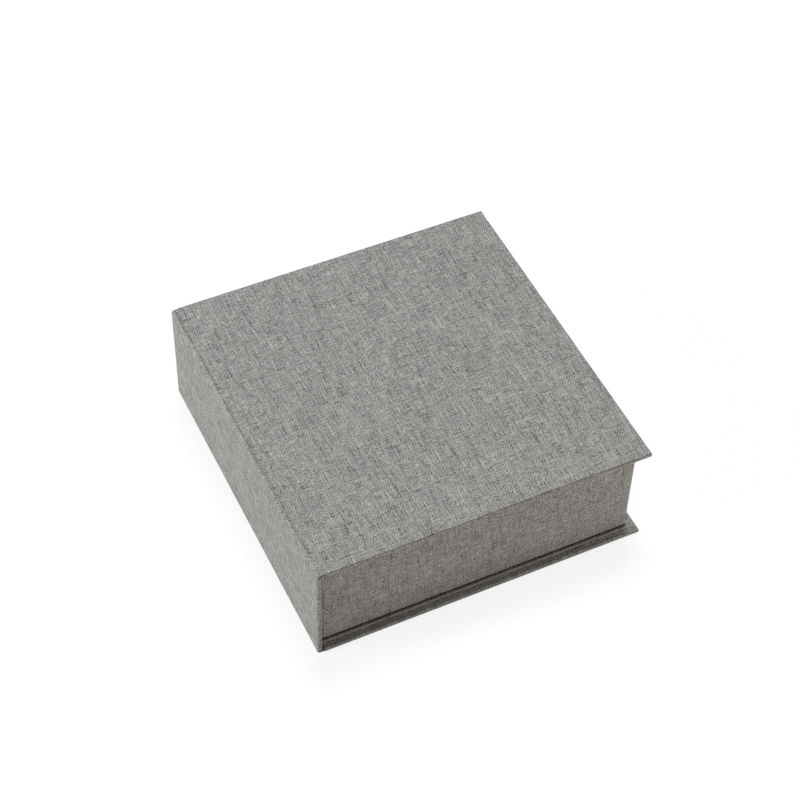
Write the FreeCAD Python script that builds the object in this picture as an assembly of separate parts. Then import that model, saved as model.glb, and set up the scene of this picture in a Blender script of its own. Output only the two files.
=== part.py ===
import FreeCAD, Part
import math
import os

V = FreeCAD.Vector

# A cloth-covered keepsake box built like a book: a lid, a spine and a base board wrapped
# in one bookcloth, with a four-walled tray glued to the base. The cloth alone bends at
# the two edges of the spine, so the spine drops flat and the lid opens with it.
#
# Frame: +X from the spine to the fore-edge, +Y to the rear, +Z up. The origin is on the
# table, under the middle of the closed case.

# ---- Driving dimensions, millimetres ---------------------------------------------------
case_width = 140.0          # outside of the spine to the covers' fore-edge
case_length = 145.0         # front edge to rear edge of the covers
case_height = 50.0          # table to the outside of the closed lid

cover_board = 1.5           # greyboard of the lid, spine and base
wall_board = 2.0            # greyboard of the tray's walls
floor_board = 1.5           # greyboard of the tray's floor
cloth = 0.3                 # bookcloth
lining = 0.3                # lining sheet

cover_edge_radius = 0.4     # cloth bent round the edge of a cover
cover_corner_radius = 0.4   # corner of a cover, seen from above
tray_corner_radius = 1.0    # upright corner of the tray
tray_foot_radius = 0.6      # cloth bent under the tray
tray_rim_radius = 0.6       # cloth bent over the rim of the tray
joint_inner_radius = 0.5    # bend of the innermost layer in a spine joint
joint_flat = 0.1            # flat cloth from a joint's bend to the lining over the spine's end
joint_gap = 0.3             # closed spine's lining to the lining over the base's or lid's end

cover_turn_in = 15.0        # cloth turned over on to the inside of a cover
lining_margin = 2.8         # turned-in cloth left bare round a cover's lining
foot_turn_in = 12.0         # cloth turned under the tray
rim_turn_in = 12.0          # cloth turned down inside the tray, from its rim
wall_lining_drop = 3.0      # rim of the tray to the top of its wall lining

end_overhang = 3.9          # covers past the tray, at the front and at the rear
fore_edge_overhang = 3.4    # covers past the tray, at the fore-edge
spine_clearance = 0.3       # tray to the lining of the closed spine
lid_clearance = 0.3         # tray's rim to the lining of the closed lid

# ---- Sizes that follow -----------------------------------------------------------------
board_top = cloth + cover_board                 # depth of a cover's board, from outside
cover = board_top + cloth                       # board with cloth on both faces
lined_cover = cover + lining
joint_radius = joint_inner_radius + lining + 2 * cloth
spine_setback = joint_radius + joint_flat + lining      # case's outside to the spine's end
cover_setback = lined_cover + joint_gap + lining        # case's outside to the base's end
flat_reach = case_width - cover_setback         # lid or base, from its joint
spine_reach = case_height - 2 * spine_setback   # spine, from joint to joint
half_length = case_length / 2

spine_face = -case_width / 2
tray_foot = lined_cover
tray_rim = case_height - lined_cover - lid_clearance
tray_x = (spine_face + lined_cover + spine_clearance, case_width / 2 - fore_edge_overhang)
tray_y = (end_overhang - half_length, half_length - end_overhang)
wall_face = cloth + wall_board                  # tray's outside to a wall's bare inner face
tray_floor = tray_foot + cloth + floor_board


def span(half):
    return (-half, half)


def block(x, y, z):
    """Box between three (low, high) pairs."""
    size = [high - low for low, high in (x, y, z)]
    return Part.makeBox(*size, V(x[0], y[0], z[0]))


def near(a, b):
    return abs(a - b) < 1e-6


def is_level(edge):
    return near(edge.Vertexes[0].Z, edge.Vertexes[-1].Z)


def upright_edges(shape):
    return [e for e in shape.Edges if not is_level(e)]


def edges_at_height(shape, z):
    return [e for e in shape.Edges if all(near(v.Z, z) for v in e.Vertexes)]


# ---- Covers: lid, spine and base -------------------------------------------------------
# Each is drawn flat: X runs from the joint, Z from the outside of the case inwards.
# A cover of the spine has a joint at both ends, so only its front and rear are wrapped.

def cover_area(reach, inset, wrapped_end):
    """X and Y spans of a cover, drawn in by an inset at its wrapped edges."""
    end = reach - inset if wrapped_end else reach
    return (0, end), span(half_length - inset)


def cover_plate(reach, inset, wrapped_end, depth):
    """Flat plate between two depths, drawn in from the cover's wrapped edges."""
    x, y = cover_area(reach, inset, wrapped_end)
    return block(x, y, depth)


def rounded_cover(reach, wrapped_end):
    """Outside of a covered board, rounded at every edge that the cloth wraps."""
    body = cover_plate(reach, 0, wrapped_end, (0, cover))
    joints = (0,) if wrapped_end else (0, reach)
    if wrapped_end:
        corners = [e for e in upright_edges(body) if near(e.Vertexes[0].X, reach)]
        body = body.makeFillet(cover_corner_radius, corners)

    def at_joint(edge):
        return any(all(near(v.X, x) for v in edge.Vertexes) for x in joints)

    wrapped = [e for e in body.Edges if is_level(e) and not at_joint(e)]
    return body.makeFillet(cover_edge_radius, wrapped)


def board_of_cover(reach, wrapped_end):
    return cover_plate(reach, cloth, wrapped_end, (cloth, board_top))


def cloth_of_cover(reach, wrapped_end):
    """Cloth round the outside and the edges, turned in on the inner face."""
    window = cover_plate(reach, cover_turn_in, wrapped_end, (board_top, cover))
    skin = rounded_cover(reach, wrapped_end)
    return skin.cut([board_of_cover(reach, wrapped_end), window])


def lining_of_cover(reach, wrapped_end):
    """Sheet glued to the board, stepping up over the turned-in cloth near its edges."""
    on_cloth = cover_plate(reach, lining_margin, wrapped_end, (cover, lined_cover))
    on_board = cover_plate(reach, cover_turn_in, wrapped_end, (board_top, cover))
    step = cover_turn_in + lining
    hollow = cover_plate(reach, step, wrapped_end, (board_top + lining, lined_cover))
    return on_cloth.fuse(on_board).cut(hollow)


def as_base(flat):
    return flat.translated(V(spine_face + cover_setback, 0, 0))


def as_lid(flat):
    turned = flat.rotated(V(0, 0, 0), V(1, 0, 0), 180)
    return turned.translated(V(spine_face + cover_setback, 0, case_height))


def as_spine(flat):
    turned = flat.rotated(V(0, 0, 0), V(0, 1, 0), 90)
    return turned.translated(V(spine_face, 0, case_height - spine_setback))


# ---- Joints: the cloth that bends along each edge of the spine --------------------------
# Drawn at the lower edge: X and Z run from the outside corner of the case.

def bend_arc(depth):
    """Quarter bend of a layer at a depth below the outside, from flat to upright."""
    radius = joint_radius - depth
    middle = joint_radius - radius / math.sqrt(2)
    start = V(joint_radius, 0, depth)
    end = V(depth, 0, joint_radius)
    return start, V(middle, 0, middle), end


def layer_round_bend(depth, thickness, base_end, y):
    """Layer round the bend. Its end at the base is given, and its end at the spine matches."""
    outer = bend_arc(depth)
    inner = bend_arc(depth + thickness)
    lower = cover_setback - spine_setback
    spine_end = [V(p.z, 0, p.x - lower) for p in reversed(base_end)]
    edges = [Part.Arc(*outer).toShape(), Part.Arc(*inner).toShape()]
    for run in ([inner[2]] + spine_end + [outer[2]], [outer[0]] + base_end + [inner[0]]):
        edges += [Part.makeLine(a, b) for a, b in zip(run, run[1:])]
    face = Part.Face(Part.Wire(Part.__sortEdges__(edges)))
    face.translate(V(0, y[0], 0))
    return face.extrude(V(0, y[1] - y[0], 0))


def bent_strip(depth, thickness, y):
    """Layer whose ends stop square at the boards' ends."""
    base_end = [V(cover_setback, 0, depth), V(cover_setback, 0, depth + thickness)]
    return layer_round_bend(depth, thickness, base_end, y)


def climbing_strip(depth, top, thickness, y):
    """Layer whose two ends climb the boards' ends up to the top depth."""
    climb = cover_setback - thickness
    base_end = [V(cover_setback, 0, depth), V(cover_setback, 0, top)]
    base_end += [V(climb, 0, top), V(climb, 0, depth + thickness)]
    return layer_round_bend(depth, thickness, base_end, y)


def joint_cloth():
    """Outer cloth of a joint, folded back on itself at the front and the rear."""
    strip = bent_strip(0, cloth, span(half_length))
    fold = half_length - cover_turn_in
    front = bent_strip(cloth, cloth, (-half_length, -fold))
    rear = bent_strip(cloth, cloth, (fold, half_length))
    return strip.fuse([front, rear])


def joint_lining():
    """Lining pressed into a joint, over the folded cloth at the front and the rear."""
    fold = half_length - cover_turn_in
    end = half_length - lining_margin
    middle = climbing_strip(cloth, board_top + lining, lining, span(fold))
    front = climbing_strip(2 * cloth, lined_cover, lining, (-end, lining - fold))
    rear = climbing_strip(2 * cloth, lined_cover, lining, (fold - lining, end))
    return middle.fuse([front, rear])


def at_lower_edge(shape):
    return shape.translated(V(spine_face, 0, 0))


def at_upper_edge(shape):
    turned = shape.rotated(V(0, 0, 0), V(1, 0, 0), 180)
    return turned.translated(V(spine_face, 0, case_height))


# ---- Tray ------------------------------------------------------------------------------

def tray_block(inset, z, radius=0):
    """Upright block of the tray's outline, drawn in by an inset, with rounded corners."""
    x = (tray_x[0] + inset, tray_x[1] - inset)
    y = (tray_y[0] + inset, tray_y[1] - inset)
    body = block(x, y, z)
    return body.makeFillet(radius, upright_edges(body)) if radius > 0 else body


def tray_ring(outer_inset, inner_inset, z):
    return tray_block(outer_inset, z).cut(tray_block(inner_inset, z))


def tray_core():
    """Room inside the tray's cloth, which its boards fill."""
    height = (tray_foot + cloth, tray_rim - cloth)
    return tray_block(cloth, height, tray_corner_radius - cloth)


def tray_cloth():
    """Cloth round the tray, turned under its foot and over its rim."""
    skin = tray_block(0, (tray_foot, tray_rim), tray_corner_radius)
    skin = skin.makeFillet(tray_foot_radius, edges_at_height(skin, tray_foot))
    skin = skin.makeFillet(tray_rim_radius, edges_at_height(skin, tray_rim))
    mouth = tray_block(wall_face + cloth, (tray_rim - cloth, tray_rim))
    sole = tray_block(foot_turn_in, (tray_foot, tray_foot + cloth))
    turned_in = tray_ring(wall_face, wall_face + cloth, (tray_rim - rim_turn_in, tray_rim - cloth))
    return skin.cut([tray_core(), mouth, sole]).fuse(turned_in)


def tray_walls():
    """Front and rear walls run full width; the other two stand between them."""
    inner_y = (tray_y[0] + wall_face, tray_y[1] - wall_face)
    height = (tray_foot, tray_rim)
    slabs = {
        "tray_front_wall": block(tray_x, (tray_y[0], inner_y[0]), height),
        "tray_rear_wall": block(tray_x, (inner_y[1], tray_y[1]), height),
        "tray_spine_wall": block((tray_x[0], tray_x[0] + wall_face), inner_y, height),
        "tray_fore_edge_wall": block((tray_x[1] - wall_face, tray_x[1]), inner_y, height),
    }
    core = tray_core()
    return {name: core.common(slab) for name, slab in slabs.items()}


def tray_floor_plate():
    return tray_block(wall_face, (tray_foot + cloth, tray_floor))


def tray_wall_lining():
    """Sheet up the inside of the walls, stepping in over the turned-down cloth."""
    fold = tray_rim - rim_turn_in
    on_cloth = wall_face + cloth
    lower = tray_ring(wall_face, wall_face + lining, (tray_floor, fold))
    step = tray_ring(wall_face, on_cloth + lining, (fold - lining, fold))
    upper = tray_ring(on_cloth, on_cloth + lining, (fold, tray_rim - wall_lining_drop))
    return lower.fuse([step, upper])


def tray_floor_lining():
    return tray_block(wall_face + lining, (tray_floor, tray_floor + lining))


# ---- The pieces ------------------------------------------------------------------------

def cover_pieces():
    covers = {
        "base": (as_base, flat_reach, True),
        "spine": (as_spine, spine_reach, False),
        "lid": (as_lid, flat_reach, True),
    }
    pieces = {}
    for name, (place, reach, wrapped_end) in covers.items():
        pieces[name + "_board"] = place(board_of_cover(reach, wrapped_end))
        pieces[name + "_cover_cloth"] = place(cloth_of_cover(reach, wrapped_end))
        pieces[name + "_lining"] = place(lining_of_cover(reach, wrapped_end))
    return pieces


def joint_pieces():
    places = {"lower_joint": at_lower_edge, "upper_joint": at_upper_edge}
    pieces = {}
    for name, place in places.items():
        pieces[name + "_cloth"] = place(joint_cloth())
        pieces[name + "_lining"] = place(joint_lining())
    return pieces


def tray_pieces():
    return {
        **tray_walls(),
        "tray_floor_board": tray_floor_plate(),
        "tray_outer_cloth": tray_cloth(),
        "tray_wall_lining": tray_wall_lining(),
        "tray_floor_lining": tray_floor_lining(),
    }


def main():
    os.makedirs("parts", exist_ok=True)
    pieces = {**cover_pieces(), **joint_pieces(), **tray_pieces()}
    for name, shape in pieces.items():
        shape = shape.removeSplitter()
        shape.exportStep("parts/" + name + ".step")
        print(name, len(shape.Solids), shape.isValid(), round(shape.Volume, 2))


main()
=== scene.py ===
import bmesh
import bpy
import math
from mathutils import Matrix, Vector


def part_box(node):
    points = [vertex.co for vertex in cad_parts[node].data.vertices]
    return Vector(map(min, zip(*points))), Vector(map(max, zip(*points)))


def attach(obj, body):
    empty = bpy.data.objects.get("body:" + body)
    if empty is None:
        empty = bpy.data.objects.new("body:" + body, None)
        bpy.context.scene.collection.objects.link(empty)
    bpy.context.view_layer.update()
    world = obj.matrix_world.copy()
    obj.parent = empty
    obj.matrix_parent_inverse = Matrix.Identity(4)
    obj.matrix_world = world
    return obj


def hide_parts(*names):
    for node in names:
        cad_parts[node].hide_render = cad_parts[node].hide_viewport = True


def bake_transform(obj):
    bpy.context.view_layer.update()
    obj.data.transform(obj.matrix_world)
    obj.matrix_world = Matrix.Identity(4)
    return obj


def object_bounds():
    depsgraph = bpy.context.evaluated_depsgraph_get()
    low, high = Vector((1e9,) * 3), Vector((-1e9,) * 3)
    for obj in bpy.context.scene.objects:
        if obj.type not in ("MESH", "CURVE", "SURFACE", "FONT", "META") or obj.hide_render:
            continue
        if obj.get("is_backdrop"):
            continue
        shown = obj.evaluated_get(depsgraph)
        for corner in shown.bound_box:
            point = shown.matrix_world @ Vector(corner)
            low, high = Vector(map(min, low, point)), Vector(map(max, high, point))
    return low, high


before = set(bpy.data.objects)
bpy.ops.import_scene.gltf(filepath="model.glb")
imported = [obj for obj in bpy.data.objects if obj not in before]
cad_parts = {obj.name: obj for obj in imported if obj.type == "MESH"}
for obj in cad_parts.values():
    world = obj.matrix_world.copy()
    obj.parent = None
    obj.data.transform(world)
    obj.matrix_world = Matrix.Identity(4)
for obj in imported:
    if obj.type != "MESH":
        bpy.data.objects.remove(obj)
cad_low, cad_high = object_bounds()

# A cloth-covered box built like a book. Metres; X from the spine to the fore-edge, Y to
# the rear, Z up. Every cloth is a sheet with its own thickness and its own map of threads.

MM = 0.001

# ---- Camera ----------------------------------------------------------------------------

lens = bpy.data.cameras.new("camera")
lens.lens = 93.426
lens.sensor_width = 36
lens.clip_start = 0.05
camera = bpy.data.objects.new("camera", lens)
camera.location = (-0.242356, -0.477470, 0.663148)
camera.rotation_euler = [math.radians(turn) for turn in (40.5562, -1.1708, -25.3551)]
bpy.context.collection.objects.link(camera)
bpy.context.scene.camera = camera
bpy.context.scene.view_settings.view_transform = "Standard"

# ---- Sizes read from the frame ---------------------------------------------------------

base_low, base_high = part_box("base_cover_cloth")
board_low, board_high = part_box("base_board")
lining_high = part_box("base_lining")[1]
spine_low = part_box("spine_cover_cloth")[0]
tray_low, tray_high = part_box("tray_outer_cloth")
wall_low, wall_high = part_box("tray_front_wall")

spine_face = cad_low[0]
fore_edge = cad_high[0]
half_length = cad_high[1]
case_height = cad_high[2]
cloth = board_low[2]                              # thickness of the bookcloth
board_top = board_high[2]
cover = base_high[2]                              # board with cloth on both faces
lined_cover = lining_high[2]
lining = lined_cover - cover
cover_setback = base_low[0] - spine_face          # case's outside to the base's end
spine_setback = spine_low[2]                      # case's outside to the spine's end
flat_reach = base_high[0] - base_low[0]
spine_reach = case_height - 2 * spine_setback
lining_margin = half_length - lining_high[1]
wall_face = cloth + wall_high[1] - wall_low[1]    # tray's outside to a wall's bare face
tray_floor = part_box("tray_floor_board")[1][2]
paper_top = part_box("tray_wall_lining")[1][2]

# ---- Sizes of folds and threads --------------------------------------------------------

joint_radius = 1.4 * MM
joint_rings = (1.4 * MM, 2.6 * MM)                # points along a joint, in from its ends
joint_swells = ((0.35 * MM, 0.65 * MM),           # reach from an end and height of the two
                (1.5 * MM, 0.325 * MM))           # swells that the folded cloth makes there
swell_start = 0.1 * MM                            # run over which it starts to swell
bend_start = (2.2 * MM, 0.0)                      # where a joint's bend starts beside its
bend_end = (0.6 * MM, 1.6 * MM)                   # cover, and ends up the spine
cover_turn_in = 15 * MM
foot_turn_in = 12 * MM
rim_turn_in = 12 * MM
cover_fold = 0.34 * MM                            # cloth round the edge of a cover
spine_fold = 0.9 * MM                             # cloth round the spine's soft ends
joint_recess = 0.25 * MM                          # joints' folded ends behind the covers'
fray = 0.18 * MM                                  # pale threads along a lining's cut edge
tray_corner = 2.2 * MM                            # upright corner of the tray
tray_fold = 0.4 * MM                              # cloth round the tray's rim and foot
foot_lift = 0.6 * MM                              # walls' foot clear of the base
foot_slope = 3.2 * MM                             # run over which the foot comes down to it
lining_fold = 0.28 * MM                           # lining over the end of a board
lining_step = 0.8 * MM                            # run over which a lining climbs a fold
mitre_gap = 0.14 * MM
paper_border = 0.5 * MM                           # edge of the paper on the tray's floor

warp_pitch = 0.63 * MM                            # threads that run along the spine
weft_pitch = 0.80 * MM                            # threads that run across it
opened_fold = 0.15 * MM                           # lid's end folds, past the box's length

slack = 0.1 * MM                                  # how near to its place a part is picked
fine_slack = 0.01 * MM                            # and how near where parts lie close
one_point = 0.001 * MM                            # points nearer than this are merged
squarely = 0.9                                    # least share of a face or an edge along
                                                  # the axis that it is picked by


# ---- Bench tools -----------------------------------------------------------------------

def clear_selection():
    if bpy.context.object and bpy.context.object.mode != "OBJECT":
        bpy.ops.object.mode_set(mode="OBJECT")
    bpy.ops.object.select_all(action="DESELECT")


def keep_hold_of(piece):
    """Selects this piece alone, and makes it the active one."""
    clear_selection()
    piece.select_set(True)
    bpy.context.view_layer.objects.active = piece


def edit(piece):
    keep_hold_of(piece)
    bpy.ops.object.mode_set(mode="EDIT")


def done():
    bpy.ops.object.mode_set(mode="OBJECT")


def settle(piece):
    """Puts the piece's place into its mesh, so that its object sits at the origin."""
    keep_hold_of(piece)
    bpy.ops.object.transform_apply(location=True, rotation=True, scale=True)


def block(name, low, high):
    """A block between two corners, to be shaped."""
    low, high = Vector(low), Vector(high)
    clear_selection()
    bpy.ops.mesh.primitive_cube_add(size=1, location=(low + high) / 2)
    piece = bpy.context.object
    piece.name = name
    piece.scale = high - low
    settle(piece)
    return piece


def blank(name, low, high, z):
    """A flat sheet between two corners, at a height."""
    clear_selection()
    middle = ((low[0] + high[0]) / 2, (low[1] + high[1]) / 2, z)
    bpy.ops.mesh.primitive_plane_add(size=1, location=middle)
    piece = bpy.context.object
    piece.name = name
    piece.scale = (high[0] - low[0], high[1] - low[1], 1)
    settle(piece)
    return piece


def edge_line(name, points):
    """A line of edges through the points, drawn out from a plane gathered to one point."""
    clear_selection()
    bpy.ops.mesh.primitive_plane_add(size=1, location=points[0])
    piece = bpy.context.object
    piece.name = name
    settle(piece)
    edit(piece)
    bpy.ops.mesh.select_mode(type="VERT")
    bpy.ops.mesh.select_all(action="SELECT")
    bpy.ops.mesh.merge(type="CENTER")
    for here, there in zip(points, points[1:]):
        step = Vector(there) - Vector(here)
        bpy.ops.mesh.extrude_vertices_move(TRANSFORM_OT_translate={"value": step})
    done()
    return piece


def pick(piece, kind, test):
    """Selects the faces, edges or points of the piece that pass a test on place and lie."""
    bpy.ops.mesh.select_mode(type=kind)
    bpy.ops.mesh.select_all(action="DESELECT")
    shape = bmesh.from_edit_mesh(piece.data)
    shape.normal_update()
    if kind == "FACE":
        for face in shape.faces:
            face.select_set(bool(test(face.calc_center_median(), face.normal)))
    elif kind == "EDGE":
        for edge in shape.edges:
            a, b = (v.co for v in edge.verts)
            edge.select_set(bool(test((a + b) / 2, (b - a).normalized())))
    else:
        for point in shape.verts:
            point.select_set(bool(test(point.co, point.normal)))
    shape.select_flush_mode()
    bmesh.update_edit_mesh(piece.data)


def shift(x=0, y=0, z=0):
    bpy.ops.transform.translate(value=(x, y, z))


def draw_out(x=0, y=0, z=0):
    """Extrudes what is selected."""
    bpy.ops.mesh.extrude_region_move(TRANSFORM_OT_translate={"value": (x, y, z)})


def cut_away():
    bpy.ops.mesh.delete(type="FACE")


def fold_soft(piece, radius, segments, crisp=lambda d: False):
    """Rounds every sharp fold of the piece that is edited, but for those that stay crisp."""
    bpy.ops.mesh.select_mode(type="EDGE")
    bpy.ops.mesh.select_all(action="DESELECT")
    bpy.ops.mesh.edges_select_sharp(sharpness=math.radians(30))
    shape = bmesh.from_edit_mesh(piece.data)
    for edge in shape.edges:
        a, b = (v.co for v in edge.verts)
        if edge.select and crisp((b - a).normalized()):
            edge.select_set(False)
    bmesh.update_edit_mesh(piece.data)
    bpy.ops.mesh.bevel(offset=radius, segments=segments, affect="EDGES")


def face_alike(piece, inside=False):
    """Merges the points that meet, and has every face look out, or every face look in."""
    edit(piece)
    bpy.ops.mesh.select_all(action="SELECT")
    bpy.ops.mesh.remove_doubles(threshold=one_point)
    bpy.ops.mesh.normals_make_consistent(inside=inside)
    done()


def face_up(piece, test):
    """Turns a sheet over if the faces that pass the test look down."""
    face_alike(piece)
    shown = [face for face in piece.data.polygons if test(face.center)]
    if sum(face.normal.z * face.area for face in shown) < 0:
        edit(piece)
        bpy.ops.mesh.select_all(action="SELECT")
        bpy.ops.mesh.flip_normals()
        done()


def thicken(piece, thickness, rim_finish=0):
    """Gives a sheet its thickness, inwards from the face that shows."""
    keep_hold_of(piece)
    solid = piece.modifiers.new("thickness", "SOLIDIFY")
    solid.thickness = thickness
    solid.offset = -1
    solid.use_even_offset = True
    solid.material_offset_rim = rim_finish
    bpy.ops.object.modifier_apply(modifier=solid.name)


def smooth(piece, degrees=35):
    keep_hold_of(piece)
    bpy.ops.object.shade_smooth_by_angle(angle=math.radians(degrees))


# ---- Thread maps: a cloth's own flat coordinates, in metres ----------------------------

def case_path(x, z):
    """Length along the case's outline, from the middle of the spine: down is negative."""
    x -= spine_face
    quarter = math.pi / 2 * joint_radius
    upright = case_height / 2 - joint_radius
    along = abs(z - case_height / 2)
    if x > lined_cover + 0.5 * slack or x >= joint_radius and along > upright:
        past = upright + quarter + x - joint_radius     # on a cover
    elif along <= upright:
        past = along                                    # up the spine
    else:                                               # round the bend between them
        past = upright + joint_radius * math.atan2(along - upright, joint_radius - x)
    return math.copysign(past, z - case_height / 2)


def case_threads(point, face):
    """Threads of the case carry on over the covers' edges, each way from its own edge."""
    u, v = case_path(point.x, point.z), point.y
    depth = min(point.z, case_height - point.z, point.x - spine_face)
    if half_length - abs(face.center.y) < fore_edge - face.center.x:
        v += math.copysign(depth, face.center.y)
    else:
        u += math.copysign(depth, u)
    return u, v


def tray_threads(point, face):
    """Threads of the tray's one strip run round its walls, and over the rim and the foot."""
    middle = (tray_low[0] + tray_high[0]) / 2
    half_x, half_y = tray_high[0] - middle, tray_high[1]
    x, y = point.x - middle, point.y
    in_x = half_x - abs(face.center.x - middle)
    in_y = half_y - abs(face.center.y)
    if in_y <= in_x and face.center.y < 0:
        u, depth = x, half_y + y
    elif in_y <= in_x:
        u, depth = 2 * half_x + 2 * half_y - x, half_y - y
    elif face.center.x > middle:
        u, depth = half_x + half_y + y, half_x - x
    else:
        u, depth = -half_x - half_y - y, half_x + x
    if face.center.z < case_height / 2:
        return u, point.z - depth
    over_rim = depth > 0.5 * wall_face
    return u, depth + (2 * tray_high[2] - point.z if over_rim else point.z)


def map_threads(piece, threads_of):
    """Writes the piece's own map of threads, from a rule on each point and its face."""
    maps = piece.data.uv_layers
    if "threads" not in maps:
        maps.new(name="threads")
    for other in [made for made in maps if made.name != "threads"]:
        maps.remove(other)
    threads = maps["threads"]
    points, loops = piece.data.vertices, piece.data.loops
    for face in piece.data.polygons:
        for corner in face.loop_indices:
            threads.data[corner].uv = threads_of(points[loops[corner].vertex_index].co, face)
    maps.active = threads
    threads.active_render = True


# ---- Covers: lid, spine and base -------------------------------------------------------
# Each is shaped flat: X runs from its joint, Z from the outside of the case inwards.

def as_base(piece):
    piece.location = (spine_face + cover_setback, 0, 0)


def as_spine(piece):
    piece.rotation_euler = (0, math.pi / 2, 0)
    piece.location = (spine_face, 0, case_height - spine_setback)


def as_lid(piece):
    piece.rotation_euler = (math.pi, 0, 0)
    piece.location = (spine_face + cover_setback, 0, case_height)


def press_mitres(piece, reach):
    """Presses a fine seam where the turned-in cloth meets at the fore-edge corners."""
    def on_mitre(c, d):
        off_line = reach - c.x - half_length + abs(c.y)
        return (abs(c.z - cover) < fine_slack and abs(off_line) < fine_slack
                and abs(abs(d.x) - abs(d.y)) < 0.1)

    pick(piece, "EDGE", on_mitre)
    bpy.ops.mesh.bevel(offset=mitre_gap, segments=2, affect="EDGES")
    pick(piece, "EDGE", on_mitre)
    shift(z=-0.5 * cloth)


def cover_cloth(name, reach, wrapped_end, fold, place):
    """Cloth round one board: outside, edges and mitred turn-ins, open at its joints."""
    piece = block(name, (0, -half_length, 0), (reach, half_length, cover))
    joints = ((0, 1),) if wrapped_end else ((0, 1), (reach, -1))
    edit(piece)
    pick(piece, "FACE", lambda c, n: n.z > squarely)
    bpy.ops.mesh.inset(thickness=cover_turn_in)
    cut_away()
    for x, inward in joints:
        pick(piece, "FACE", lambda c, n: abs(n.x) > squarely and abs(c.x - x) < slack
             or n.z > squarely and abs(c.x - x) < cover_turn_in and abs(c.y) < slack)
        cut_away()
        inset = x + inward * cover_turn_in
        pick(piece, "VERT", lambda p, n: abs(p.x - inset) < slack
             and p.z > 0.5 * cover and abs(p.y) < half_length - slack)
        shift(x=-inward * cover_turn_in)
    fold_soft(piece, fold, segments=5, crisp=lambda d: abs(d.z) > squarely)
    if wrapped_end:
        press_mitres(piece, reach)
    done()
    thicken(piece, cloth)
    place(piece)
    settle(piece)
    smooth(piece)
    map_threads(piece, case_threads)
    return piece


CUT_EDGE, CREVICE_SHADE = 1, 2                           # a lining's finishes after its face: its cut edge, and painted shade under the tray


def finish_lining(piece):
    """Thickness, and the finishes of a lining's face and cut edge."""
    for look in (lining_cloth, cut_edge):
        piece.data.materials.append(look)
    thicken(piece, lining, rim_finish=CUT_EDGE)


def cover_lining(name, reach, wrapped_end, place):
    """Lining inside a cover: over the turned-in cloth, and down the board at a joint."""
    end = reach - lining_margin if wrapped_end else reach
    side = half_length - lining_margin
    joints = ((0, 1),) if wrapped_end else ((0, 1), (end, -1))
    piece = blank(name, (0, -side), (end, side), lined_cover)
    to_fold = cover_turn_in - lining_margin
    edit(piece)
    bpy.ops.mesh.select_all(action="SELECT")
    bpy.ops.mesh.inset(thickness=fray)
    bpy.ops.mesh.inset(thickness=to_fold - fray)
    bpy.ops.mesh.inset(thickness=lining_step)
    shift(z=-cloth)
    for x, inward in joints:
        pick(piece, "FACE", lambda c, n: abs(c.x - x) < to_fold + lining_step
             and abs(c.y) < slack)
        cut_away()
        for inset in (fray, to_fold, to_fold + lining_step):
            pick(piece, "VERT", lambda p, n: abs(p.x - x - inward * inset) < slack)
            shift(x=-inward * inset)
    for x, inward in joints:
        pick(piece, "EDGE", lambda c, d: abs(c.x - x) < fine_slack and abs(d.y) > 0.5)
        draw_out(x=-inward * lining)
        draw_out(z=cloth - board_top)
    fold_soft(piece, lining_fold, segments=3)
    done()
    face_up(piece, lambda c: c.z > cover - slack)
    finish_lining(piece)
    for face in piece.data.polygons:
        near_side = side - abs(face.center.y) < fray
        if near_side or wrapped_end and end - face.center.x < fray:
            face.material_index = CUT_EDGE
    place(piece)
    settle(piece)
    smooth(piece, degrees=50)
    map_threads(piece, case_threads)
    return piece


def paint_crevice_shade(piece):
    """Paints shade on the base's lining under the tray, so that the crevice under the tray's
    foot shows dark.
    """
    edit(piece)
    x, y = tray_high[:2]
    # Cuts along the tray's outline: three sides, and a slant across each rounded corner.
    for across in ((1, 0, 0), (0, 1, 0), (0, -1, 0), (1, 1, 0), (1, -1, 0)):
        far = x * across[0] + y * abs(across[1]) - tray_corner * across[0] * abs(across[1])
        bpy.ops.mesh.select_all(action="SELECT")
        bpy.ops.mesh.bisect(plane_co=Vector(across) * far / Vector(across).length_squared,
                            plane_no=across)
    done()
    piece.data.materials.append(crevice_shade_cloth)
    for face in piece.data.polygons:
        c = face.center
        # Faces under the tray's outline take the painted crevice shade.
        if (tray_low[0] < c.x < x and abs(c.y) < y and c.x + abs(c.y) < x + y - tray_corner
                and c.z > cover - cloth):
            face.material_index = CREVICE_SHADE
    map_threads(piece, case_threads)


# ---- Joints: the cloth that bends along each edge of the spine -------------------------
# Each is shaped at the lower edge: X and Z run from the outside corner of the case.

def round_joint(x):
    """Draws what lies across the joint at x on to the bend, round it and up the spine."""
    draw_out(x=joint_radius - x)
    bpy.ops.mesh.spin(steps=12, angle=-math.pi / 2, axis=(0, 1, 0),
                      center=(joint_radius, 0, joint_radius))
    draw_out(z=spine_setback - joint_radius)


def at_lower_edge(piece):
    piece.location = (spine_face, 0, 0)


def at_upper_edge(piece):
    piece.rotation_euler = (math.pi, 0, 0)
    piece.location = (spine_face, 0, case_height)


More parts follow.
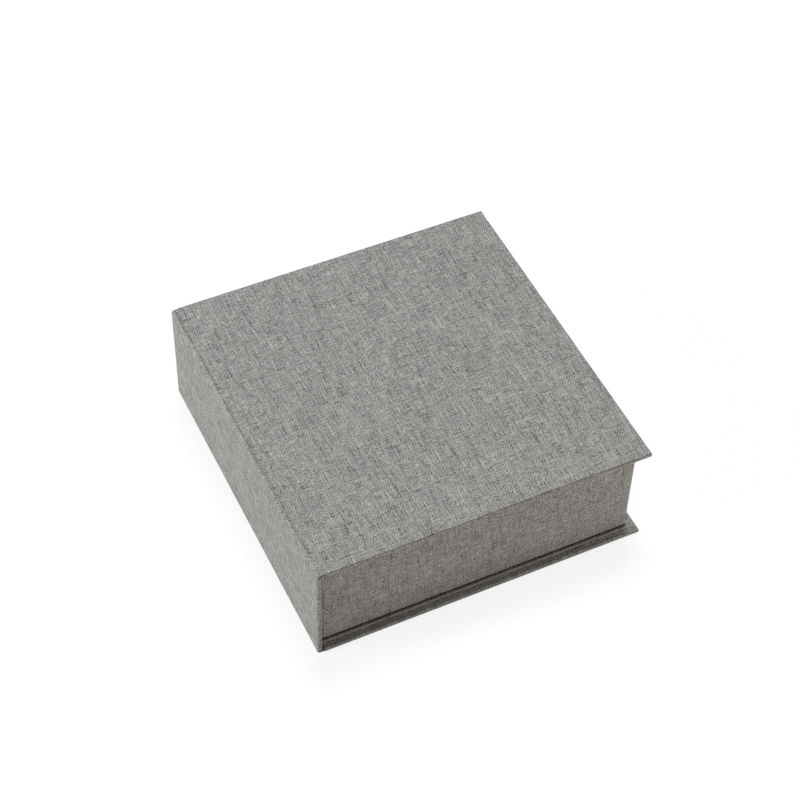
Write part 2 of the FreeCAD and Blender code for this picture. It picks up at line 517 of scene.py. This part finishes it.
def joint_cloth(name, place):
    """Outer cloth of a joint, folded back on itself at the front and the rear."""
    fold = half_length - cover_turn_in
    rounding = [math.radians(turn) for turn in range(-90, 91, 30)]
    end = half_length - joint_recess
    side = [(end + cloth * (math.cos(turn) - 1), cloth * (1 + math.sin(turn)))
            for turn in rounding]
    side += [(half_length - from_end, 2 * cloth) for from_end in joint_rings]
    side += [(fold, 2 * cloth), (fold, cloth)]
    outline = side + [(-y, z) for y, z in reversed(side)]
    piece = edge_line(name, [(cover_setback, y, z) for y, z in outline + outline[:1]])
    edit(piece)
    bpy.ops.mesh.select_all(action="SELECT")
    bpy.ops.mesh.remove_doubles(threshold=one_point)
    bpy.ops.mesh.edge_face_add()
    draw_out(x=lined_cover + swell_start - cover_setback)
    draw_out(x=-swell_start)
    # The upper layer of the folded cloth swells towards the ends.
    for from_end, swell in joint_swells:
        pick(piece, "VERT", lambda p, n: abs(p.x - lined_cover) < fine_slack
             and abs(p.y) > half_length - from_end and 1.4 * cloth < p.z < 2.1 * cloth)
        shift(z=swell)
    pick(piece, "FACE", lambda c, n: abs(c.x - lined_cover) < fine_slack
         and abs(n.x) > squarely)
    round_joint(lined_cover)
    bpy.ops.mesh.select_all(action="SELECT")
    bpy.ops.mesh.normals_make_consistent(inside=False)
    done()
    place(piece)
    settle(piece)
    smooth(piece)
    map_threads(piece, case_threads)
    return piece


def joint_lining(name, place):
    """Lining pressed into a joint, over the folded cloth at the front and the rear."""
    fold = half_length - cover_turn_in
    end = half_length - lining_margin
    deep, shallow = cloth + lining, 2 * cloth + lining
    line = [(-end, shallow), (-fold, shallow), (lining_step - fold, deep),
            (fold - lining_step, deep), (fold, shallow), (end, shallow)]
    piece = edge_line(name, [(cover_setback, y, z) for y, z in line])
    edit(piece)
    bpy.ops.mesh.select_all(action="SELECT")
    round_joint(cover_setback)
    done()
    face_up(piece, lambda c: c.x > joint_radius and c.z < cover)
    finish_lining(piece)
    place(piece)
    settle(piece)
    smooth(piece, degrees=50)
    map_threads(piece, case_threads)
    return piece


# ---- Tray ------------------------------------------------------------------------------

def tray_room(name, inset, low, high):
    """A block of the tray's outline, drawn in by an inset, between two heights."""
    return block(name, (tray_low[0] + inset, tray_low[1] + inset, low),
                 (tray_high[0] - inset, tray_high[1] - inset, high))


def tray_cloth():
    """Cloth round the walls, turned under the foot, over the rim and down inside."""
    piece = tray_room("tray_cloth", 0, tray_low[2] + foot_lift, tray_high[2])
    edit(piece)
    pick(piece, "FACE", lambda c, n: n.z < -squarely)
    bpy.ops.mesh.inset(thickness=foot_slope)
    shift(z=-foot_lift)
    bpy.ops.mesh.inset(thickness=foot_turn_in - foot_slope)
    cut_away()
    pick(piece, "FACE", lambda c, n: n.z > squarely)
    bpy.ops.mesh.inset(thickness=wall_face + cloth)
    draw_out(z=-rim_turn_in)
    cut_away()
    pick(piece, "EDGE", lambda c, d: abs(d.z) > squarely
         and tray_high[1] - abs(c.y) < slack)
    bpy.ops.mesh.bevel(offset=tray_corner, segments=5, affect="EDGES")
    fold_soft(piece, tray_fold, segments=4)
    done()
    thicken(piece, cloth)
    smooth(piece)
    map_threads(piece, tray_threads)
    return piece


def tray_board(name, wall):
    """One wall's board, clear of the base as its cloth is, with soft outer corners."""
    low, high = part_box(wall)
    piece = block(name, (low[0], low[1], low[2] + foot_lift), high)
    edit(piece)
    pick(piece, "EDGE", lambda c, d: abs(d.z) > squarely
         and abs(abs(c.y) - tray_high[1] + cloth) < slack)
    bpy.ops.mesh.bevel(offset=tray_corner - cloth, segments=4, affect="EDGES")
    done()
    return piece


def tray_wall_paper():
    """Sheet up the inside of the walls, stepping in over the turned-down cloth."""
    on_board = wall_face + lining
    fold = tray_high[2] - rim_turn_in
    piece = tray_room("tray_wall_paper", on_board, tray_floor, fold - lining_step)
    edit(piece)
    pick(piece, "FACE", lambda c, n: n.z < -squarely)
    cut_away()
    pick(piece, "FACE", lambda c, n: n.z > squarely)
    bpy.ops.mesh.inset(thickness=cloth)
    shift(z=lining_step)
    draw_out(z=paper_top - fold)
    cut_away()
    done()
    face_alike(piece, inside=True)
    thicken(piece, lining)
    smooth(piece, degrees=50)
    return piece


def tray_floor_paper():
    inset = wall_face + lining
    piece = blank("tray_floor_paper", (tray_low[0] + inset, tray_low[1] + inset),
                  (tray_high[0] - inset, tray_high[1] - inset), tray_floor + lining)
    edit(piece)
    bpy.ops.mesh.select_all(action="SELECT")
    bpy.ops.mesh.inset(thickness=paper_border)
    done()
    thicken(piece, lining)
    return piece


# ---- Finishes --------------------------------------------------------------------------

def node(tree, kind, settings=(), **inputs):
    """Adds a node, with its settings, and each named input linked or set."""
    made = tree.nodes.new("ShaderNode" + kind)
    for name, value in dict(settings).items():
        setattr(made, name, value)
    for name, value in inputs.items():
        socket = made.inputs[name.replace("_", " ")]
        if isinstance(value, bpy.types.NodeSocket):
            tree.links.new(value, socket)
        else:
            socket.default_value = value
    return made


def maths(tree, operation, *values):
    """One step of arithmetic on numbers and outputs of other nodes."""
    made = node(tree, "Math", {"operation": operation})
    for socket, value in zip(made.inputs, values):
        if isinstance(value, bpy.types.NodeSocket):
            tree.links.new(value, socket)
        else:
            socket.default_value = value
    return made.outputs[0]


def pair(tree, x, y):
    return node(tree, "CombineXYZ", X=x, Y=y).outputs[0]


def effect(name, inputs, outputs):
    """A node group with named inputs, a place where the value is None, and outputs."""
    tree = bpy.data.node_groups.new(name, "ShaderNodeTree")
    for title, value in inputs.items():
        kind = "NodeSocketVector" if value is None else "NodeSocketFloat"
        socket = tree.interface.new_socket(title, in_out="INPUT", socket_type=kind)
        if value is not None:
            socket.default_value = value
    for title in outputs:
        tree.interface.new_socket(title, in_out="OUTPUT", socket_type="NodeSocketFloat")
    return tree, tree.nodes.new("NodeGroupInput").outputs, tree.nodes.new("NodeGroupOutput")


def grain(tree, x, y, detail=0.0):
    """Soft noise about nothing, from -1 to 1, on two coordinates."""
    cloud = node(tree, "TexNoise", {"noise_dimensions": "2D"},
                 Vector=pair(tree, x, y), Scale=1.0, Detail=detail)
    return maths(tree, "MULTIPLY_ADD", cloud.outputs["Fac"], 2.0, -1.0)


def ease(tree, value, low, high, start=0.0, end=1.0):
    """A smooth step between two values."""
    return node(tree, "MapRange", {"interpolation_type": "SMOOTHSTEP"}, Value=value,
                From_Min=low, From_Max=high, To_Min=start, To_Max=end).outputs[0]


def blended(tree, share, first, second):
    """A mix of two values, by the share of the second."""
    made = node(tree, "Mix", {"data_type": "FLOAT"}, Factor=share)
    tree.links.new(first, made.inputs["A"])
    tree.links.new(second, made.inputs["B"])
    return made.outputs[0]


# Where in the noise a yarn is read. Neighbours lie a stride apart, so that no two are alike.
ply_stride, yarn_stride = 5.91, 7.37
ply_seed, fibre_seed, slub_seed = 31.7, 2203.3, 67.1

# How fast a yarn changes along its length, for each thread that it crosses.
warp_streaks, weft_streaks = 0.09, 0.13
fibres, slubs, partings = 1.7, 0.16, 0.14
warp_blotches, weft_blotches = 0.05, 0.06
crossings = 0.45                                  # share of the height from where yarns cross


def yarn(tree, place, along, streaks, seed):
    """A two-ply yarn: its streaks, its fibres, and where a slub lifts it to the top."""
    ply = maths(tree, "FLOOR", maths(tree, "MULTIPLY", place, 2.0))
    ply = maths(tree, "MULTIPLY_ADD", ply, ply_stride, seed + ply_seed)
    streak = grain(tree, ply, maths(tree, "MULTIPLY", along, streaks))
    streak = maths(tree, "MULTIPLY", streak, maths(tree, "ABSOLUTE", streak))
    fibre = grain(tree, maths(tree, "ADD", ply, fibre_seed),
                  maths(tree, "MULTIPLY", along, fibres))
    lane = maths(tree, "FLOOR", place)
    lane = maths(tree, "MULTIPLY_ADD", lane, yarn_stride, seed + slub_seed)
    slub = grain(tree, lane, maths(tree, "MULTIPLY", along, slubs))
    return streak, fibre, ease(tree, slub, low=0.46, high=0.68)


def parting(tree, place, along, seed):
    """Dark line between two yarns, where they stand apart for a short way."""
    beside = maths(tree, "ADD", place, 0.5)
    off = maths(tree, "MULTIPLY_ADD", maths(tree, "FRACT", beside), 2.0, -1.0)
    line = ease(tree, maths(tree, "ABSOLUTE", off), low=0.15, high=0.6, start=1.0, end=0.0)
    lane = maths(tree, "MULTIPLY_ADD", maths(tree, "FLOOR", beside), yarn_stride, seed)
    apart = grain(tree, lane, maths(tree, "MULTIPLY", along, partings))
    return maths(tree, "MULTIPLY", line, ease(tree, apart, low=0.12, high=0.5))


def weave_effect():
    """Plain weave of melange yarn: a tone about nothing and a height from 0 to 1."""
    tree, given, end = effect("plain weave", {
        "Threads": None, "Warp Pitch": warp_pitch, "Weft Pitch": weft_pitch,
        "Warp Streak": 0.94, "Weft Streak": 0.82, "Melange": 1.05, "Slub": 0.15,
        "Parting": 0.25, "Blotch": 0.04, "Warp Lift": 0.22}, ("Tone", "Height"))
    at = node(tree, "SeparateXYZ", Vector=given["Threads"]).outputs
    across = maths(tree, "DIVIDE", at[0], given["Warp Pitch"])
    along = maths(tree, "DIVIDE", at[1], given["Weft Pitch"])
    warp, weft = maths(tree, "FLOOR", across), maths(tree, "FLOOR", along)
    over = maths(tree, "FLOORED_MODULO", maths(tree, "ADD", warp, weft), 2.0)

    def crown(place):
        side = maths(tree, "MULTIPLY_ADD", maths(tree, "FRACT", place), 2.0, -1.0)
        return maths(tree, "SUBTRACT", 1.0, maths(tree, "MULTIPLY", side, side))

    warp_crown, weft_crown = crown(across), crown(along)
    warp_streak, warp_fibre, warp_slub = yarn(tree, across, along, warp_streaks, seed=3.1)
    weft_streak, weft_fibre, weft_slub = yarn(tree, along, across, weft_streaks, seed=511.3)
    warp_slub = maths(tree, "MULTIPLY", warp_slub, warp_crown)
    weft_slub = maths(tree, "MULTIPLY", weft_slub, weft_crown)
    over = maths(tree, "MULTIPLY", over, maths(tree, "SUBTRACT", 1.0, weft_slub))
    over = maths(tree, "MAXIMUM", over, warp_slub)
    both = maths(tree, "MULTIPLY", warp_crown, weft_crown)
    top = maths(tree, "SQRT", blended(tree, over, weft_crown, warp_crown))
    height = maths(tree, "MULTIPLY", top, 1 - crossings)
    height = maths(tree, "MULTIPLY_ADD", both, crossings, height)

    fibre = maths(tree, "MULTIPLY", blended(tree, over, weft_fibre, warp_fibre),
                  given["Melange"])
    lift = maths(tree, "MULTIPLY_ADD", over, 2.0, -1.0)
    shown = maths(tree, "MULTIPLY_ADD", lift, given["Warp Lift"], fibre)
    shown = maths(tree, "MULTIPLY_ADD", warp_streak, given["Warp Streak"], shown)
    shown = maths(tree, "MULTIPLY_ADD", weft_streak, given["Weft Streak"], shown)
    thick = maths(tree, "ADD", warp_slub, weft_slub)
    shown = maths(tree, "MULTIPLY_ADD", thick, given["Slub"], shown)
    cloud = grain(tree, maths(tree, "MULTIPLY", across, warp_blotches),
                  maths(tree, "MULTIPLY", along, weft_blotches), detail=2.0)
    tone = maths(tree, "MULTIPLY_ADD", cloud, given["Blotch"], shown)
    warp_gaps = parting(tree, across, along, seed=913.7)
    weft_gaps = parting(tree, along, across, seed=1407.1)
    gaps = maths(tree, "ADD", warp_gaps, maths(tree, "MULTIPLY", weft_gaps, 0.6))
    gaps = maths(tree, "MULTIPLY", gaps, given["Parting"])
    tree.links.new(maths(tree, "SUBTRACT", tone, gaps), end.inputs["Tone"])
    tree.links.new(height, end.inputs["Height"])
    return tree


def finish(name, roughness, sheen=0.0):
    """A new material: its tree and its shader."""
    material = bpy.data.materials.new(name)
    material.use_nodes = True
    tree = material.node_tree
    shader = tree.nodes["Principled BSDF"]
    shader.inputs["Roughness"].default_value = roughness
    shader.inputs["Specular IOR Level"].default_value = 0.25
    shader.inputs["Sheen Weight"].default_value = sheen
    shader.inputs["Sheen Roughness"].default_value = 0.5
    return material, tree, shader


def opened_along(tree, place, fold, near, far, most):
    """How far the weave stands open beside a fold, which deepens the painted shade in its
    pits: most up to near, and not past far.
    """
    off = maths(tree, "SUBTRACT", maths(tree, "ABSOLUTE", place), fold)
    return ease(tree, maths(tree, "ABSOLUTE", off), near, far, start=most, end=0.0)


def bookcloth(name, weave, dark, light, bend=0, **values):
    """Woven bookcloth between two yarn colours, with painted shade in its pits that deepens
    where the weave stands open along a bend and the lid's ends.
    """
    material, tree, shader = finish(name, roughness=0.88, sheen=0.06)
    threads = node(tree, "UVMap", {"uv_map": "threads"}).outputs[0]
    woven = tree.nodes.new("ShaderNodeGroup")
    woven.node_tree = weave
    tree.links.new(threads, woven.inputs["Threads"])
    for title, value in values.items():
        woven.inputs[title.replace("_", " ")].default_value = value
    # Painted shade in the pits between yarns, deeper where the weave stands open.
    pit_shade = node(tree, "MapRange", Value=woven.outputs["Height"], From_Min=0.0, From_Max=0.6,
                To_Min=0.4, To_Max=1.0).outputs[0]
    if bend:
        at = node(tree, "SeparateXYZ", Vector=threads).outputs
        opened = opened_along(tree, at[0], bend, near=0.2 * MM, far=0.9 * MM, most=0.75)
        lid_end = opened_along(tree, at[1], half_length + opened_fold, near=0.25 * MM,
                               far=0.5 * MM, most=1.0)
        on_lid = maths(tree, "GREATER_THAN", at[0], bend)
        opened = maths(tree, "MAXIMUM", opened, maths(tree, "MULTIPLY", lid_end, on_lid))
        depth = ease(tree, woven.outputs["Height"], low=0.35, high=0.9, start=1.0, end=0.0)
        depth = maths(tree, "MULTIPLY", opened, depth)
        pit_shade = maths(tree, "MULTIPLY", pit_shade, maths(tree, "SUBTRACT", 1.0, depth))
    tone = maths(tree, "MULTIPLY_ADD", woven.outputs["Tone"], 0.5, 0.5)
    tone = maths(tree, "MULTIPLY", tone, pit_shade)
    yarns = node(tree, "Mix", {"data_type": "RGBA", "clamp_factor": True})
    tree.links.new(tone, yarns.inputs["Factor"])
    for socket in yarns.inputs:
        if socket.type == "RGBA":
            socket.default_value = (*(dark if socket.name == "A" else light), 1)
    colour = next(o for o in yarns.outputs if o.type == "RGBA")
    tree.links.new(colour, shader.inputs["Base Color"])
    bump = node(tree, "Bump", Height=woven.outputs["Height"], Strength=0.6,
                Distance=0.12 * MM)
    tree.links.new(bump.outputs[0], shader.inputs["Normal"])
    return material


weave = weave_effect()
dark_yarn, light_yarn = (0.055, 0.0545, 0.0525), (0.611, 0.61, 0.594)
case_bend = case_path(spine_face + joint_radius, case_height)
case_cloth = bookcloth("case_cloth", weave, dark_yarn, light_yarn, bend=case_bend)
tray_wrap = bookcloth("tray_wrap", weave, dark_yarn, light_yarn, Warp_Streak=0.78,
                      Weft_Streak=0.88, Melange=1.25)
lining_cloth = bookcloth("lining_cloth", weave, dark_yarn, light_yarn)
# Near-black cloth under the tray: painted shade for the crevice under its foot.
crevice_shade_cloth = bookcloth("crevice_shade_cloth", weave, (0.008, 0.008, 0.008), (0.05, 0.05, 0.048))


def speckled(name, low, high, roughness, size, bump_depth):
    """Paper or board: fine flecks and a soft unevenness on the object's own coordinates."""
    material, tree, shader = finish(name, roughness)
    place = node(tree, "TexCoord").outputs["Object"]
    fleck = node(tree, "TexNoise", Vector=place, Scale=1 / size, Detail=3.0)
    cloud = node(tree, "TexNoise", Vector=place, Scale=0.04 / size, Detail=1.0)
    tone = maths(tree, "MULTIPLY_ADD", fleck.outputs["Fac"], 0.7,
                 maths(tree, "MULTIPLY", cloud.outputs["Fac"], 0.3))
    ramp = node(tree, "ValToRGB", Fac=tone)
    ramp.color_ramp.elements[0].position = 0.3
    ramp.color_ramp.elements[0].color = (*low, 1)
    ramp.color_ramp.elements[1].position = 0.7
    ramp.color_ramp.elements[1].color = (*high, 1)
    tree.links.new(ramp.outputs[0], shader.inputs["Base Color"])
    bump = node(tree, "Bump", Height=fleck.outputs["Fac"], Strength=0.3, Distance=bump_depth)
    tree.links.new(bump.outputs[0], shader.inputs["Normal"])
    return material


cut_edge = speckled("cut_edge", low=(0.42, 0.41, 0.39), high=(0.86, 0.85, 0.82),
                    roughness=0.9, size=0.4 * MM, bump_depth=0.05 * MM)
paper = speckled("lining_paper", low=(0.50, 0.49, 0.46), high=(0.60, 0.59, 0.56),
                 roughness=0.85, size=0.6 * MM, bump_depth=0.03 * MM)
greyboard = speckled("greyboard", low=(0.17, 0.16, 0.145), high=(0.30, 0.285, 0.26),
                     roughness=0.92, size=0.5 * MM, bump_depth=0.06 * MM)

# ---- The pieces ------------------------------------------------------------------------

# How far it reaches, whether its far end is wrapped, how soft its fold is, and its place.
COVERS = {"base": (flat_reach, True, cover_fold, as_base),
          "spine": (spine_reach, False, spine_fold, as_spine),
          "lid": (flat_reach, True, cover_fold, as_lid)}
for part, (reach, wrapped_end, fold, place) in COVERS.items():
    wrap = cover_cloth(part + "_cloth", reach, wrapped_end, fold, place)
    wrap.data.materials.append(case_cloth)
    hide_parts(part + "_cover_cloth")
    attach(wrap, part)
    sheet = cover_lining(part + "_lining_sheet", reach, wrapped_end, place)
    # The base's lining gets painted shade under the tray, for the crevice at the tray's foot.
    if part == "base":
        paint_crevice_shade(sheet)
    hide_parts(part + "_lining")
    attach(sheet, part)

# Its place, and the bodies on its cover's side and on the spine's side.
JOINTS = {"lower": (at_lower_edge, "base", "spine"), "upper": (at_upper_edge, "lid", "spine")}
hinge_cloths, hinge_linings = [], []
for part, (place, cover_body, spine_body) in JOINTS.items():
    strip = joint_cloth(part + "_hinge_cloth", place)
    strip.data.materials.append(case_cloth)
    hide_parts(part + "_joint_cloth")
    inner = joint_lining(part + "_hinge_lining", place)
    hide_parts(part + "_joint_lining")
    low = Vector((spine_face + bend_start[0], 0, bend_start[1]))
    high = Vector((spine_face + bend_end[0], 0, bend_end[1]))
    if part == "upper":
        low.z, high.z = case_height - low.z, case_height - high.z
    for piece in (strip, inner):
        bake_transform(piece)
    hinge_cloths.append(strip)
    hinge_linings.append(inner)

WALLS = ("front", "rear", "spine", "fore_edge")
for side in WALLS:
    board = tray_board(side + "_wall_board", "tray_" + side + "_wall")
    board.data.materials.append(greyboard)
    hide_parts("tray_" + side + "_wall")
    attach(board, "base")
wrap = tray_cloth()
wrap.data.materials.append(tray_wrap)
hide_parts("tray_outer_cloth")
walls = tray_wall_paper()
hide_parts("tray_wall_lining")
bottom = tray_floor_paper()
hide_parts("tray_floor_lining")
for piece in (walls, bottom):
    piece.data.materials.append(paper)
for piece in (wrap, walls, bottom):
    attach(piece, "base")

for name in ("base_board", "spine_board", "lid_board", "tray_floor_board"):
    for holder in bpy.data.objects[name].material_slots:
        holder.material = greyboard

# ---- Floor and light -------------------------------------------------------------------

def seen_directly(tree):
    """1 where the camera, a reflection or a clear piece looks, and 0 for other light."""
    ray = node(tree, "LightPath").outputs
    seen = maths(tree, "ADD", ray["Is Camera Ray"], ray["Is Glossy Ray"])
    return maths(tree, "ADD", seen, ray["Is Transmission Ray"])


def show(tree, lit, white, share, output):
    """Shows a share of plain white where it is seen directly, and else what is lit."""
    blend = node(tree, "MixShader", Fac=maths(tree, "MULTIPLY", seen_directly(tree), share))
    tree.links.new(lit, blend.inputs[1])
    tree.links.new(white, blend.inputs[2])
    tree.links.new(blend.outputs[0], tree.nodes[output].inputs[0])


floor_radius = 0.95
floor_gap = 0.2 * MM                              # floor below the box's foot
floor_white = 0.78                                # share of the floor seen as plain white
aim = Vector((0, 0, 30 * MM))                     # where the lamps look

clear_selection()
bpy.ops.mesh.primitive_circle_add(vertices=96, radius=floor_radius, fill_type="NGON")
floor = bpy.context.object
floor.name = "floor"
floor.location.z = -floor_gap
settle(floor)
floor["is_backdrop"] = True
floor_finish, tree, shader = finish("floor", roughness=0.95)
shader.inputs["Base Color"].default_value = (0.80, 0.776, 0.74, 1)
white = node(tree, "Emission", Strength=1.107)
white.inputs["Color"].default_value = (0.993, 1.0, 1.011, 1)
show(tree, shader.outputs[0], white.outputs[0], floor_white, "Material Output")
floor.data.materials.append(floor_finish)

world = bpy.data.worlds.new("studio")
bpy.context.scene.world = world
world.use_nodes = True
tree = world.node_tree
soft = tree.nodes["Background"]
soft.inputs["Color"].default_value = (1, 1, 1, 1)
soft.inputs["Strength"].default_value = 0.04
bright = node(tree, "Background", Strength=1.0)
bright.inputs["Color"].default_value = (1, 1, 1, 1)
show(tree, soft.outputs[0], bright.outputs[0], 1.0, "World Output")


def hang_lamp(name, turn, rise, far, size, energy, colour):
    """A round soft lamp that looks at the box from a turn and a rise, in degrees."""
    bulb = bpy.data.lights.new(name, "AREA")
    bulb.shape = "DISK"
    bulb.size = size
    bulb.energy = energy
    bulb.color = colour
    lamp = bpy.data.objects.new(name, bulb)
    turn, rise = math.radians(turn), math.radians(rise)
    lamp.location = aim + far * Vector((math.cos(turn) * math.cos(rise),
                                        math.sin(turn) * math.cos(rise), math.sin(rise)))
    lamp.rotation_euler = (aim - lamp.location).to_track_quat("-Z", "Y").to_euler()
    bpy.context.collection.objects.link(lamp)


hang_lamp("spine_lamp", turn=172, rise=20, far=2.6, size=0.91, energy=47,
          colour=(1.01, 1.0, 0.99))
hang_lamp("overhead_lamp", turn=65, rise=72, far=2.6, size=0.91, energy=46,
          colour=(1.0, 1.0, 1.0))
hang_lamp("front_lamp", turn=315, rise=8, far=1.0, size=0.5, energy=3.75,
          colour=(1.10, 1.0, 0.91))

low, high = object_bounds()
